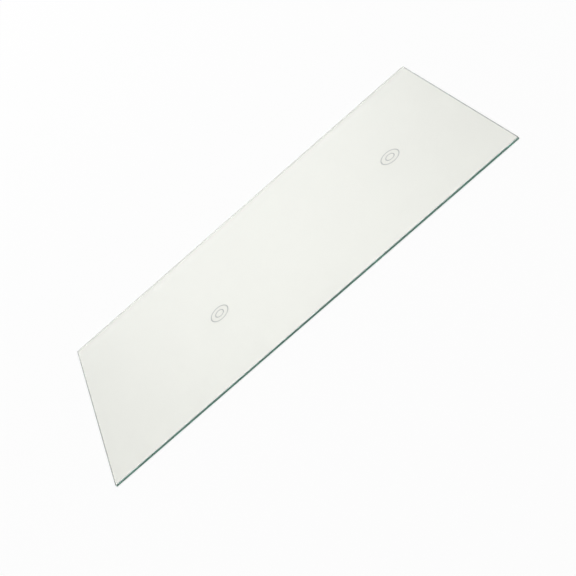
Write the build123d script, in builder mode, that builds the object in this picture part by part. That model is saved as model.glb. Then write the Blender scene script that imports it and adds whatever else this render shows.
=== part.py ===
"""Glass shelf of a household refrigerator.

The shelf is one flat pane of toughened float glass that lies on the ribs of the cabinet's side walls.
The pane lies flat: X runs across the cabinet, Y from the door to the rear wall and Z up.
The origin is at the middle of its underside.
"""

import os

from build123d import *

# Driving sizes, in millimetres
pane_length = 520.0
pane_depth = 260.0
glass_thickness = 3.2
# Toughened glass keeps no sharp corner: the four corners are rounded on the grinding belt
corner_radius = 1.2
# Leg of the 45 degree bevel that is ground along the upper and the lower rim
arris_leg = 0.5

# The pane: a blank cut from sheet, with its rim ground to a flat land between two arrises
with BuildPart() as glass_pane:
    with BuildSketch(Plane.XY):
        RectangleRounded(pane_length, pane_depth, corner_radius)
    extrude(amount=glass_thickness)
    rims_by_height = glass_pane.edges().filter_by(Axis.Z, reverse=True).group_by(Axis.Z)
    chamfer(rims_by_height[0] + rims_by_height[-1], length=arris_leg)
glass_pane.part.label = "glass_pane"

os.makedirs("parts", exist_ok=True)
export_step(glass_pane.part, "parts/glass_pane.step")
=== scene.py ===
# %% [markdown]
# # A refrigerator's glass shelf
# The object is one flat pane of toughened glass, a little over half a metre long.
# It has hardly any shape, so the lesson is about edges, light and clear material:
# a ground rim that turns dark green, polished faces that mirror the studio, and two pairs of printed rings.
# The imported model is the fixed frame. Everything made here is in metres and in that frame.

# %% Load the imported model
import math

import bpy
import numpy as np
from mathutils import Matrix, Vector


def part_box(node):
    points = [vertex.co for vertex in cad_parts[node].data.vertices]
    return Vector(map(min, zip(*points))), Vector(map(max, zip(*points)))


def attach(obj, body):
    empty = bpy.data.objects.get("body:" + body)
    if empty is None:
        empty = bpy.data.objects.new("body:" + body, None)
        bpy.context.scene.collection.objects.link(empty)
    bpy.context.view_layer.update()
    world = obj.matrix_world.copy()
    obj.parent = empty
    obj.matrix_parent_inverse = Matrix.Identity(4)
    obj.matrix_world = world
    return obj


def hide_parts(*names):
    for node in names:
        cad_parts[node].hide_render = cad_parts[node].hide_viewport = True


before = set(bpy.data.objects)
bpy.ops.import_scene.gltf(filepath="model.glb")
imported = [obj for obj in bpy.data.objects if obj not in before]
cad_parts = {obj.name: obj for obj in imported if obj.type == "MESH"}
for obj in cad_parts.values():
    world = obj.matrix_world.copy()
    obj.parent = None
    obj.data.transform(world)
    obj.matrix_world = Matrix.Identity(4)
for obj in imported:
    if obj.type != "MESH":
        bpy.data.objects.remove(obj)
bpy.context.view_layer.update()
pane_low, pane_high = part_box("glass_pane")
length, depth, thickness = pane_high - pane_low
scene = bpy.context.scene
MM = 0.001
print(f"pane {length / MM:.1f} x {depth / MM:.1f} x {thickness / MM:.2f} mm")

# %% [markdown]
# ## Camera
# The picture looks down on the long front edge, and the camera is rolled,
# so that the pane crosses the frame from corner to corner.
# A camera can be turned by three Euler angles, but those are hard to read.
# Here it is given by what can be seen in the picture: where it stands, what it looks at,
# and how far it is rolled about that line. A small lens shift stands for the crop of the frame.

# %% Set up the camera
IMAGE_SIDE = 576
SENSOR_WIDTH = 36.0
NEAREST_SEEN = 0.01
CAMERA_PLACE = Vector((52.72, -877.34, 548.52)) * MM
CAMERA_AIM = Vector((8.39, -61.31, 0.0)) * MM
CAMERA_ROLL = math.radians(-42.721)
FOCAL_PIXELS = 951.70
LENS_SHIFT = (-0.01875, -0.01704)


def stand_and_face(place, aim, roll=0.0):
    """Placement whose -Z runs from place to aim, with X level before it is rolled about that line."""
    forward = (aim - place).normalized()
    level = forward.cross(Vector((0, 0, 1))).normalized()
    upright = level.cross(forward)
    right = math.cos(roll) * level + math.sin(roll) * upright
    up = math.cos(roll) * upright - math.sin(roll) * level
    turn = Matrix((right, up, -forward)).transposed()
    return Matrix.Translation(place) @ turn.to_4x4()


lens_data = bpy.data.cameras.new("photo_camera")
lens_data.sensor_width = SENSOR_WIDTH
lens_data.lens = FOCAL_PIXELS * SENSOR_WIDTH / IMAGE_SIDE
lens_data.shift_x, lens_data.shift_y = LENS_SHIFT
lens_data.clip_start = NEAREST_SEEN
camera = bpy.data.objects.new("photo_camera", lens_data)
camera.matrix_world = stand_and_face(CAMERA_PLACE, CAMERA_AIM, CAMERA_ROLL)
scene.collection.objects.link(camera)
scene.camera = camera
print(f"lens {lens_data.lens:.1f} mm, {CAMERA_PLACE.length:.2f} m from the middle of the pane")

# %% [markdown]
# ## From arrays to a mesh
# Each new surface is an array of points and an array of four-cornered faces, both worked out by numpy.
# The pane could be modelled by hand, or point by point with bmesh, but arrays keep the formula in sight.
# The object stays at the origin, so that its object coordinates are the frame's coordinates.


# %% Mesh helper
def add_piece(name, points, quads, material):
    """Mesh object at the origin, from an (n, 3) array of points and an (m, 4) array of corner numbers."""
    mesh = bpy.data.meshes.new(name)
    mesh.from_pydata(points.tolist(), [], quads.tolist())
    mesh.shade_smooth()
    mesh.materials.append(material)
    mesh.update()
    piece = bpy.data.objects.new(name, mesh)
    scene.collection.objects.link(piece)
    print(f"{name}: {len(points)} points, {len(quads)} faces")
    return piece


# %% [markdown]
# ## Short words for shader nodes
# A material is a graph of nodes, which the Shader Editor lets you drag together.
# In a script each node takes several lines, so a few helpers make a node and hand back its output.
# The graphs below then read like formulas.


# %% Node helpers
def new_material(name):
    """Empty node material and its node tree."""
    material = bpy.data.materials.new(name)
    material.use_nodes = True
    material.node_tree.nodes.clear()
    return material, material.node_tree


def node(tree, kind, **inputs):
    """New node with inputs set to a value or linked to an output; i0, i1 and so on are inputs by number."""
    made = tree.nodes.new(kind)
    for name, value in inputs.items():
        counted = name[0] == "i" and name[1:].isdigit()
        socket = made.inputs[int(name[1:]) if counted else name]
        if isinstance(value, bpy.types.NodeSocket):
            tree.links.new(value, socket)
        else:
            socket.default_value = value
    return made


def maths(tree, operation, *values):
    """Output of a Math node."""
    made = node(tree, "ShaderNodeMath", **{f"i{i}": value for i, value in enumerate(values)})
    made.operation = operation
    return made.outputs[0]


def vector_maths(tree, operation, *values, result="Vector"):
    """Output of a Vector Math node: a vector, or a number where the result asked for is Value."""
    made = node(tree, "ShaderNodeVectorMath", **{f"i{i}": value for i, value in enumerate(values)})
    made.operation = operation
    return made.outputs[result]


def ease(tree, value, span, levels=(0.0, 1.0)):
    """Output of a Map Range node: one level below the span, the other above it, a smooth step between."""
    made = node(tree, "ShaderNodeMapRange", Value=value)
    made.interpolation_type = "SMOOTHSTEP"
    made.inputs["From Min"].default_value, made.inputs["From Max"].default_value = span
    made.inputs["To Min"].default_value, made.inputs["To Max"].default_value = levels
    return made.outputs[0]


# %% [markdown]
# ## The table
# The shelf lies on a white table top, and the table fades into a white backdrop.
# Stronger lamps could make the table as bright as the backdrop, but they would bleach the glass too.
# So rays from the camera, from mirror reflections and from inside the glass are mostly handed white at once.
# The rest is white paint, lit by the room and the key lamp, and it holds the shelf's soft shadow.

# %% White table
WHITE = (1, 1, 1, 1)
BACKDROP_WHITE = 0.975
TABLE_PAINT = (0.86, 0.86, 0.86, 1)
TABLE_FADE = (0.3, 2.0)
TABLE_WHITE_SHARES = (0.84, BACKDROP_WHITE)
TABLE_HALF = 6.0
TABLE_GAP = 0.2 * MM


def table_material():
    """White paint, mixed with plain white by a share that grows with the distance from the shelf."""
    material, tree = new_material("white_table")
    path = node(tree, "ShaderNodeLightPath")
    seen = maths(tree, "MAXIMUM", path.outputs["Is Camera Ray"], path.outputs["Is Glossy Ray"])
    seen = maths(tree, "MAXIMUM", seen, path.outputs["Is Transmission Ray"])
    white = node(tree, "ShaderNodeEmission", Color=WHITE, Strength=1.0)
    paint = node(tree, "ShaderNodeBsdfDiffuse", Color=TABLE_PAINT)
    place = node(tree, "ShaderNodeTexCoord").outputs["Object"]
    away = vector_maths(tree, "LENGTH", place, result="Value")
    share = maths(tree, "MULTIPLY", seen, ease(tree, away, TABLE_FADE, TABLE_WHITE_SHARES))
    mix = node(tree, "ShaderNodeMixShader", i0=share, i1=paint.outputs[0], i2=white.outputs[0])
    node(tree, "ShaderNodeOutputMaterial", Surface=mix.outputs[0])
    return material


corners = np.array([(-1, -1), (1, -1), (1, 1), (-1, 1)]) * TABLE_HALF
table_points = np.column_stack([corners, np.full(len(corners), pane_low.z - TABLE_GAP)])
table = add_piece("white_table", table_points, np.array([[0, 1, 2, 3]]), table_material())

# %% [markdown]
# ## The room
# A polished pane shows the room it lies in, so the room is part of the finish.
# An environment picture could do that, but a world shader needs no file, and this one has four answers.
# Seen directly, or straight through the glass, it is the white of the backdrop.
# As a light it is an even dome, which leaves a faint contact shadow round the shelf.
# In a mirror reflection it is a pale room, with a dark curtain behind the shelf and a pale panel on that:
# the panel brightens the middle of the glass face, and the curtain leaves its ends darker.
# A ray that has bounced along inside the glass meets no curtain or panel, only a plain grey that is
# darker straight ahead than to the sides, so that the rim's colour comes from the glass.

# %% Studio room
DOME_LEVEL = 0.75
PALE_ROOM_LEVEL = 0.7
CURTAIN_LEVEL = 0.03
CURTAIN_EDGE = (0.5, 1.0)
PANEL_LEVEL = 0.97
PANEL_MIDDLE = Vector((-0.044, 0.926, 0.375))
PANEL_REACH = Vector((0.269, 0.9, 0.283))
AHEAD_AND_ASIDE = (0.45, 0.9)
ASIDE_SPAN = (0.05, 0.30)
AHEAD_TILT = 0.05
NOT_MIRRORED_YET = 0.5
LONG_RUN = 3.5


def choose(tree, switch, off, on):
    """Output of a Mix node: the off value where the switch is 0 and the on value where it is 1.

    The node's factor is input 0, and its two numbers are inputs 2 and 3."""
    return node(tree, "ShaderNodeMix", i0=switch, i2=off, i3=on).outputs[0]


def mirror_level(tree, direction):
    """Level of the room in a reflection: a panel on a curtain that eases into the pale room.

    The panel's level is e to the minus d to the fourth, with d the distance from its middle in reaches."""
    from_middle = vector_maths(tree, "SUBTRACT", direction, PANEL_MIDDLE)
    offset = vector_maths(tree, "DIVIDE", from_middle, PANEL_REACH)
    squared = vector_maths(tree, "DOT_PRODUCT", offset, offset, result="Value")
    fourth = maths(tree, "MULTIPLY", squared, squared)
    panel = maths(tree, "EXPONENT", maths(tree, "MULTIPLY", fourth, -1.0))
    apart = vector_maths(tree, "DISTANCE", direction, PANEL_MIDDLE, result="Value")
    curtain = ease(tree, apart, CURTAIN_EDGE, (CURTAIN_LEVEL, PALE_ROOM_LEVEL))
    return maths(tree, "MULTIPLY_ADD", panel, PANEL_LEVEL, curtain)


def edge_level(tree, direction):
    """Level at the end of a long run inside the glass: darker straight ahead, lighter to both sides."""
    sideways = node(tree, "ShaderNodeSeparateXYZ", i0=direction).outputs["X"]
    aside = maths(tree, "ABSOLUTE", maths(tree, "ADD", sideways, AHEAD_TILT))
    return ease(tree, aside, ASIDE_SPAN, AHEAD_AND_ASIDE)


def room_world():
    """World whose level depends on the kind of ray that asks for it."""
    world = bpy.data.worlds.new("studio_room")
    world.use_nodes = True
    tree = world.node_tree
    tree.nodes.clear()
    path = node(tree, "ShaderNodeLightPath")
    direction = node(tree, "ShaderNodeTexCoord").outputs["Generated"]
    level = choose(tree, path.outputs["Is Glossy Ray"], DOME_LEVEL, mirror_level(tree, direction))
    long_run = maths(tree, "GREATER_THAN", path.outputs["Glossy Depth"], LONG_RUN)
    level = choose(tree, long_run, level, edge_level(tree, direction))
    direct = maths(tree, "LESS_THAN", path.outputs["Glossy Depth"], NOT_MIRRORED_YET)
    straight_through = maths(tree, "MULTIPLY", path.outputs["Is Transmission Ray"], direct)
    shown = maths(tree, "MAXIMUM", path.outputs["Is Camera Ray"], straight_through)
    level = choose(tree, shown, level, BACKDROP_WHITE)
    background = node(tree, "ShaderNodeBackground", Color=WHITE, Strength=level)
    node(tree, "ShaderNodeOutputWorld", Surface=background.outputs[0])
    return world


scene.world = room_world()
print(f"{scene.world.name}: {len(scene.world.node_tree.nodes)} nodes")

# %% [markdown]
# ## The lamps
# Two strip softboxes hang over the table, one behind the shelf and one in front of it.
# The one behind is the key: it lights the table and throws a soft shadow towards the camera.
# The other one is only there for mirror reflections. It draws the fine light line along the ground arris,
# and it stays out of the open table's light.
# Cycles counts every bounce inside the glass, and light that enters the rim bounces dozens of times
# before it leaves at the far edge, so the limits on bounces go up.
# The Standard view transform shows every colour as it is written.

# %% Softboxes
KEY_RADIANCE = 4.9
ARRIS_RADIANCE = 33.0
STRIP_SIZE = (3.4, 0.8)
RIM_BOUNCES = 64
FACE_BOUNCES = 16
KEY_PLACE = Vector((0.0, 1.4, 3.3))
ARRIS_STRIP_PLACE = Vector((-0.2, -2.31, 3.0))


def add_strip(name, radiance, place, aim):
    """Rectangular softbox that stands at place and faces aim, of power radiance times pi times area."""
    data = bpy.data.lights.new(name, "AREA")
    data.shape = "RECTANGLE"
    data.size, data.size_y = STRIP_SIZE
    data.energy = radiance * math.pi * math.prod(STRIP_SIZE)
    lamp = bpy.data.objects.new(name, data)
    lamp.matrix_world = stand_and_face(place, aim)
    lamp.visible_transmission = False
    scene.collection.objects.link(lamp)
    print(f"{name}: {data.energy:.0f} W, {place.length:.1f} m from the middle of the pane")
    return lamp


front_edge = Vector((0.0, pane_low.y, 0.0))
key = add_strip("key_strip", KEY_RADIANCE, KEY_PLACE, front_edge)
key.visible_glossy = False
arris_strip = add_strip("arris_strip", ARRIS_RADIANCE, ARRIS_STRIP_PLACE, front_edge)
arris_strip.visible_diffuse = False
scene.cycles.max_bounces = RIM_BOUNCES
scene.cycles.glossy_bounces = RIM_BOUNCES
scene.cycles.transmission_bounces = FACE_BOUNCES
scene.view_settings.view_transform = "Standard"

# %% [markdown]
# ## The rim's section
# A shelf is cut from sheet glass. Its rim is ground flat, and the two sharp edges of the rim are taken off
# as narrow 45 degree arrises, because a nick there would shatter toughened glass.
# The belt leaves soft lines, not knife edges, between those bands.
# A Bevel modifier could cut them, but a profile can give each band its own finish,
# because every point of it knows how far it tilts.

# %% Rim profile
ARRIS_LEG = 0.5 * MM
SOFT_RADIUS = 0.16 * MM
SOFT_STEPS = 4
FACE_STRIP = 0.9 * MM
FACE_TILT, ARRIS_TILT, LAND_TILT = 90, 45, 0


def rim_profile():
    """Distance outwards, height and tilt of the rim's section, from the top face round to the underside.

    The section is a square edge with two 45 degree bevels. Each bend is an arc of the soft radius:
    its centre plus the radius times the direction it faces, which tilts from up, over the bevel, to level.
    A flat strip of the face belongs to each end. The lower half is the mirror image of the upper one."""
    step_in = SOFT_RADIUS * math.tan(math.radians(ARRIS_TILT / 2))
    centres = np.array([(-ARRIS_LEG - step_in, thickness - SOFT_RADIUS),
                        (-SOFT_RADIUS, thickness - ARRIS_LEG - step_in)])
    tilt = np.linspace((FACE_TILT, ARRIS_TILT), (ARRIS_TILT, LAND_TILT), SOFT_STEPS).T
    facing = np.stack([np.cos(np.radians(tilt)), np.sin(np.radians(tilt))], -1)
    arcs = (centres[:, None] + SOFT_RADIUS * facing).reshape(-1, 2)
    strip = np.array([(-FACE_STRIP, thickness), (-(FACE_STRIP + ARRIS_LEG) / 2, thickness)])
    upper = np.concatenate([strip, arcs])
    upper_tilt = np.concatenate([np.full(len(strip), FACE_TILT), tilt.ravel()])
    lower = upper[::-1] * (1, -1) + (0, thickness)
    return np.concatenate([upper, lower]), np.concatenate([upper_tilt, upper_tilt[::-1]])


profile, profile_tilt = rim_profile()
land = np.ptp(profile[profile_tilt == LAND_TILT, 1])
print(f"rim section of {len(profile)} points, with a land {land / MM:.2f} mm high")

# %% [markdown]
# ## The outline
# The pane is a rectangle whose corners are just rounded enough to be safe in the hand.
# A Bezier curve could be the path for the profile, but arrays also give the direction that each point faces,
# and the profile is carried along those directions. Even spacing keeps the grid of the faces square.

# %% Outline of the pane
CORNER_RADIUS = 1.2 * MM
LONG_STEPS, SHORT_STEPS, ARC_STEPS = 104, 52, 6
QUARTER_TURN = 90


def outline():
    """Points and outward directions of a rounded rectangle, anticlockwise from the near left corner.

    A side runs from the middle of one corner arc to the middle of the next: half an arc, a straight run
    and half an arc. A point is its place on the rectangle of arc centres, plus the radius times
    the direction it faces."""
    half = np.array([length, depth]) / 2 - CORNER_RADIUS
    half_arc = np.linspace(0, QUARTER_TURN / 2, ARC_STEPS)
    at_end = np.ones(ARC_STEPS)
    sides = []
    for side, steps in enumerate((LONG_STEPS, SHORT_STEPS) * 2):
        turn = np.radians(np.concatenate([-half_arc[::-1], np.zeros(steps - 1), half_arc])[:-1])
        along = np.concatenate([-at_end, np.linspace(-1, 1, steps + 1)[1:-1], at_end])[:-1]
        run, reach = half[side % 2], half[1 - side % 2]
        facing = math.radians(QUARTER_TURN * (side - 1))
        out = np.array([math.cos(facing), math.sin(facing)])
        left = np.array([-out[1], out[0]])
        normals = np.cos(turn)[:, None] * out + np.sin(turn)[:, None] * left
        sides.append((reach * out + along[:, None] * run * left + CORNER_RADIUS * normals, normals))
    points, normals = (np.concatenate(parts) for parts in zip(*sides))
    return points + (pane_low.xy + pane_high.xy) / 2, normals, [len(side[0]) for side in sides]


loop, facing_out, side_counts = outline()
way_round = np.linalg.norm(loop - np.roll(loop, 1, 0), axis=1).sum()
print(f"outline of {len(loop)} points, {way_round / MM:.1f} mm round")

# %% [markdown]
# ## Faces and rim as one closed shell
# Glass has to be a closed shell, or light can't tell inside from outside.
# So each face is a patch that fills the loop where the rim ends, and it shares the rim's points there.
# A Coons patch does that: it blends the four sides of the loop into a grid.
# The rollers of the toughening oven leave a faint ripple in the faces, which bends their reflections.
# The arris's share of grinding grows towards the back, and through the tint it paints shade there.

# %% Pane mesh
ROLLER_WAVE = 0.03 * MM
ROLLER_PITCH = 240 * MM
LAND_GRIND = 0.75
ARRIS_GRIND = 0.82
ROUGHER_AND_SHADED_AT_BACK = 0.05
LAND_TILT_LIMIT, ARRIS_TILT_LIMIT = 20, 80


def grid_quads(numbers):
    """Quads of a grid of point numbers: each joins a point with its neighbours along both directions."""
    near, far = numbers[:-1], numbers[1:]
    return np.stack([near[:, :-1], far[:, :-1], far[:, 1:], near[:, 1:]], -1).reshape(-1, 4)


def coons(front, right, back, left):
    """Patch on four boundary curves: the lofts between opposite curves, less the corners' bilinear blend."""
    u = np.linspace(0, 1, len(front))[:, None, None]
    v = np.linspace(0, 1, len(right))[None, :, None]
    lofts = (1 - v) * front[:, None] + v * back[:, None] + (1 - u) * left[None] + u * right[None]
    blend = ((1 - u) * (1 - v) * front[0] + u * (1 - v) * front[-1]
             + (1 - u) * v * back[0] + u * v * back[-1])
    return lofts - blend


def roller_wave(x, y):
    """Height of the rollers' ripple: a sine along the pane that fades out towards the rim."""
    fade = (1 - (2 * x / length) ** 2) * (1 - (2 * y / depth) ** 2)
    return ROLLER_WAVE * np.sin(2 * math.pi * x / ROLLER_PITCH) * np.clip(fade, 0, None)


def grinding(tilt, facing):
    """Share of grinding by tilt: the land where the section faces level, then the arris, none on a face.

    The arris has more of it the more it faces the back; through the tint, that extra paints shade there."""
    arris = ARRIS_GRIND + ROUGHER_AND_SHADED_AT_BACK * facing[..., 1]
    return np.where(tilt < LAND_TILT_LIMIT, LAND_GRIND, np.where(tilt < ARRIS_TILT_LIMIT, arris, 0.0))


def pane_mesh():
    """Points, quads and share of grinding of the whole pane.

    The rim is the profile carried round the outline, row by row: a point is the outline's point
    plus the profile's distance along the direction that it faces, at the profile's height.
    Each face is a Coons patch on the rim's first or last row, lifted by the roller wave."""
    rows, around = len(profile), len(loop)
    flat = loop[None] + profile[:, 0, None, None] * facing_out[None]
    height = np.broadcast_to(profile[:, 1, None, None], (rows, around, 1))
    rim = np.concatenate([flat, height], -1).reshape(-1, 3)
    numbers = np.arange(rows * around).reshape(rows, around)
    numbers = np.concatenate([numbers, numbers[:, :1]], 1)
    points, quads = [rim], [grid_quads(numbers)]
    long_count, short_count = side_counts[:2]
    inner = (long_count - 1, short_count - 1)
    ends = np.cumsum([0, *side_counts])
    for end_row in (0, rows - 1):
        front, right, back, left = (numbers[end_row, a:b + 1] for a, b in zip(ends[:-1], ends[1:]))
        back, left = back[::-1], left[::-1]
        patch = coons(rim[front], rim[right], rim[back], rim[left])
        patch[..., 2] += roller_wave(patch[..., 0], patch[..., 1])
        cells = np.zeros((long_count + 1, short_count + 1), int)
        cells[1:-1, 1:-1] = sum(map(len, points)) + np.arange(math.prod(inner)).reshape(inner)
        cells[:, 0], cells[-1, :], cells[:, -1], cells[0, :] = front, right, back, left
        points.append(patch[1:-1, 1:-1].reshape(-1, 3))
        quads.append(grid_quads(cells) if end_row == 0 else grid_quads(cells)[:, ::-1])
    ground = np.zeros(sum(map(len, points)))
    ground[:len(rim)] = grinding(profile_tilt[:, None], facing_out[None]).ravel()
    return np.concatenate(points), np.concatenate(quads), ground


pane_points, pane_quads, pane_ground = pane_mesh()
print(f"{np.mean(pane_ground > 0):.0%} of the pane's points are on the ground rim")

# %% [markdown]
# ## Grain
# Ground glass and printed enamel have a fine grain, and so, very faintly, has a face that was wiped dry.
# A bitmap could hold it, but noise on object coordinates has no seams and no limit to its sharpness.
# Several finishes use it, so it is a node group, built once and given a number of grains for each axis.

# %% Grain group
LARGER_GRAIN = 0.1
GRAIN_DETAIL = 2.0
NOISE_SPAN = (0.3, 0.7)


def grain_group():
    """Node group of two noises: one of so many grains per metre along each axis, one ten times as large."""
    group = bpy.data.node_groups.new("fine_grain", "ShaderNodeTree")
    group.interface.new_socket("Per metre", in_out="INPUT", socket_type="NodeSocketVector")
    group.interface.new_socket("Fine", in_out="OUTPUT", socket_type="NodeSocketFloat")
    group.interface.new_socket("Broad", in_out="OUTPUT", socket_type="NodeSocketFloat")
    place = node(group, "ShaderNodeTexCoord").outputs["Object"]
    counted = vector_maths(group, "MULTIPLY", place, node(group, "NodeGroupInput").outputs["Per metre"])
    fine = node(group, "ShaderNodeTexNoise", Vector=counted, Scale=1.0, Detail=GRAIN_DETAIL)
    broad = node(group, "ShaderNodeTexNoise", Vector=counted, Scale=LARGER_GRAIN, Detail=GRAIN_DETAIL)
    node(group, "NodeGroupOutput", Fine=fine.outputs["Fac"], Broad=broad.outputs["Fac"])
    return group


def add_grain(tree, per_metre):
    """Fine and broad output of one use of the grain group."""
    made = tree.nodes.new("ShaderNodeGroup")
    made.node_tree = fine_grain
    made.inputs["Per metre"].default_value = per_metre
    return made.outputs["Fine"], made.outputs["Broad"]


fine_grain = grain_group()
print(f"{fine_grain.name}: {len(fine_grain.nodes)} nodes")

# %% [markdown]
# ## Glass
# Clear float glass has a little iron in it. Through 3 mm the tint hardly shows, but light that enters
# the rim travels the whole depth of the shelf between the faces, and comes out dark grey-green.
# The edge could be painted that colour, but it would be wrong from every other side.
# So it is the absorption of one closed volume, and the light's path through it makes the colour.
# At a density of 100 per metre, its colour is about what a centimetre of glass leaves of white light.
# The belt leaves fine lines along the rim: many per millimetre of height, few along its length.
# The arris is tinted darker than the land, partly for its coarser grinding and partly as painted shade.

# %% Glass material
FACE_TINT = (0.962, 0.951, 0.905, 1)
# The arris tint's painted shade is darkest on the back arris and almost gone at the front.
ARRIS_TINT_AND_SHADE = (0.10, 0.11, 0.09, 1)
DULL_AND_SHADE_SHARES = (0.42, 0.58)
BELT_LINES = (50.0, 50.0, 5000.0)
BELT_ROUGHNESS = (0.34, 0.42)
BELT_DEPTH = 0.004 * MM
WIPE_MARKS = (25.0, 60.0, 25.0)
WIPE_ROUGHNESS = (0.0, 0.03)
GLASS_IOR = 1.52
IRON_COLOUR = (0.895, 0.943, 0.933, 1)
IRON_DENSITY = 100.0


def blend_colours(tree, factor, first, second):
    """Output 2 of a Mix node for colours, which takes its factor as input 0 and the colours as 6 and 7."""
    made = node(tree, "ShaderNodeMix", i0=factor, i6=first, i7=second)
    made.data_type = "RGBA"
    return made.outputs[2]


def glass_material():
    """Clear glass with polished faces, a rim ground along its length and an even green absorption inside.

    Roughness is the share of grinding times the belt's roughness, plus the faint haze of a wiped face."""
    material, tree = new_material("float_glass")
    rim_mask = node(tree, "ShaderNodeAttribute")
    rim_mask.attribute_name = "ground"
    ground = rim_mask.outputs["Fac"]
    lines, patches = add_grain(tree, BELT_LINES)
    wiped, _ = add_grain(tree, WIPE_MARKS)
    belt = maths(tree, "MULTIPLY", ground, ease(tree, lines, NOISE_SPAN, BELT_ROUGHNESS))
    roughness = maths(tree, "ADD", belt, ease(tree, wiped, NOISE_SPAN, WIPE_ROUGHNESS))
    relief = node(tree, "ShaderNodeBump", Height=maths(tree, "MULTIPLY", ground, lines), Distance=BELT_DEPTH)
    # The darker arris tint is partly ground dullness and partly painted shade, which grows towards the back.
    coarse_and_shaded = ease(tree, ground, (LAND_GRIND, ARRIS_GRIND + ROUGHER_AND_SHADED_AT_BACK))
    dulled_and_shaded = maths(tree, "MULTIPLY", coarse_and_shaded, ease(tree, patches, NOISE_SPAN, DULL_AND_SHADE_SHARES))
    tint = blend_colours(tree, dulled_and_shaded, FACE_TINT, ARRIS_TINT_AND_SHADE)
    shader = node(tree, "ShaderNodeBsdfPrincipled", Roughness=roughness, Normal=relief.outputs[0])
    tree.links.new(tint, shader.inputs["Base Color"])
    shader.inputs["Transmission Weight"].default_value = 1.0
    shader.inputs["IOR"].default_value = GLASS_IOR
    inside = node(tree, "ShaderNodeVolumeAbsorption", Color=IRON_COLOUR, Density=IRON_DENSITY)
    node(tree, "ShaderNodeOutputMaterial", Surface=shader.outputs[0], Volume=inside.outputs[0])
    return material


pane = add_piece("glass_shelf_pane", pane_points, pane_quads, glass_material())
mask = pane.data.attributes.new("ground", "FLOAT", "POINT")
mask.data.foreach_set("value", pane_ground.astype(np.float32))
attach(pane, "root")
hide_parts("glass_pane")

# %% [markdown]
# ## Enamel
# Two pairs of thin rings are screen printed on the top face in pale grey enamel, and the oven fires them in.
# One flat grey could stand for it, but fired enamel is finely speckled and has an uneven sheen.
# So the grain group varies its colour and relief, four grains to the millimetre, and its gloss more broadly.

# %% Enamel material
ENAMEL_COLOURS = ((0.44, 0.445, 0.42, 1), (0.50, 0.505, 0.48, 1))
ENAMEL_ROUGHNESS = (0.38, 0.52)
ENAMEL_GRAINS = (4000.0, 4000.0, 4000.0)
ENAMEL_DEPTH = 0.01 * MM


def enamel_material():
    """Pale grey fired enamel with the fine speckle of a screen print and a soft sheen."""
    material, tree = new_material("pale_enamel")
    specks, patches = add_grain(tree, ENAMEL_GRAINS)
    roughness = ease(tree, patches, NOISE_SPAN, ENAMEL_ROUGHNESS)
    relief = node(tree, "ShaderNodeBump", Height=specks, Distance=ENAMEL_DEPTH)
    shader = node(tree, "ShaderNodeBsdfPrincipled", Roughness=roughness, Normal=relief.outputs[0])
    colour = blend_colours(tree, ease(tree, specks, NOISE_SPAN), *ENAMEL_COLOURS)
    tree.links.new(colour, shader.inputs["Base Color"])
    node(tree, "ShaderNodeOutputMaterial", Surface=shader.outputs[0])
    return material


enamel = enamel_material()
print(f"{enamel.name}: {len(enamel.node_tree.nodes)} nodes")

# %% [markdown]
# ## Printed rings
# Each ring is a line of enamel about a millimetre wide.
# It could be painted by the glass's own material, but clear glass has nothing for paint to lie on.
# So each ring is a thin piece of opaque enamel of its own: a torus pressed flat, that follows the face.
# It stands two hundredths of a millimetre proud, and its shadow falls on the table through the glass.

# %% Rings
RING_STEPS, SECTION_STEPS = 96, 12
RING_RADII = (11.2 * MM, 5.2 * MM)
RING_LINE = 1.2 * MM
RING_RISE = 0.02 * MM
RING_CENTRES = {"left": (-82.4 * MM, -17.0 * MM), "right": (165.9 * MM, -4.7 * MM)}


def ring_mesh(centre, radius):
    """Points and quads of a flattened torus on the top face.

    One parameter runs round the ring and the other round its section, an ellipse as wide as the line.
    The section's middle lies in the face, so only its upper half stands proud."""
    round_ring = np.linspace(0, 2 * math.pi, RING_STEPS, endpoint=False)[:, None]
    round_section = np.linspace(0, 2 * math.pi, SECTION_STEPS, endpoint=False)[None]
    out = radius + RING_LINE / 2 * np.cos(round_section)
    x = centre[0] + out * np.cos(round_ring)
    y = centre[1] + out * np.sin(round_ring)
    z = thickness + roller_wave(x, y) + RING_RISE * np.sin(round_section)
    numbers = np.arange(RING_STEPS * SECTION_STEPS).reshape(RING_STEPS, SECTION_STEPS)
    closed = np.pad(numbers, ((0, 1), (0, 1)), mode="wrap")
    return np.stack([x, y, z], -1).reshape(-1, 3), grid_quads(closed)


for side, centre in RING_CENTRES.items():
    for radius in RING_RADII:
        ring = add_piece(f"enamel_ring_{side}_{radius / MM:.0f}", *ring_mesh(centre, radius), enamel)
        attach(ring, "root")
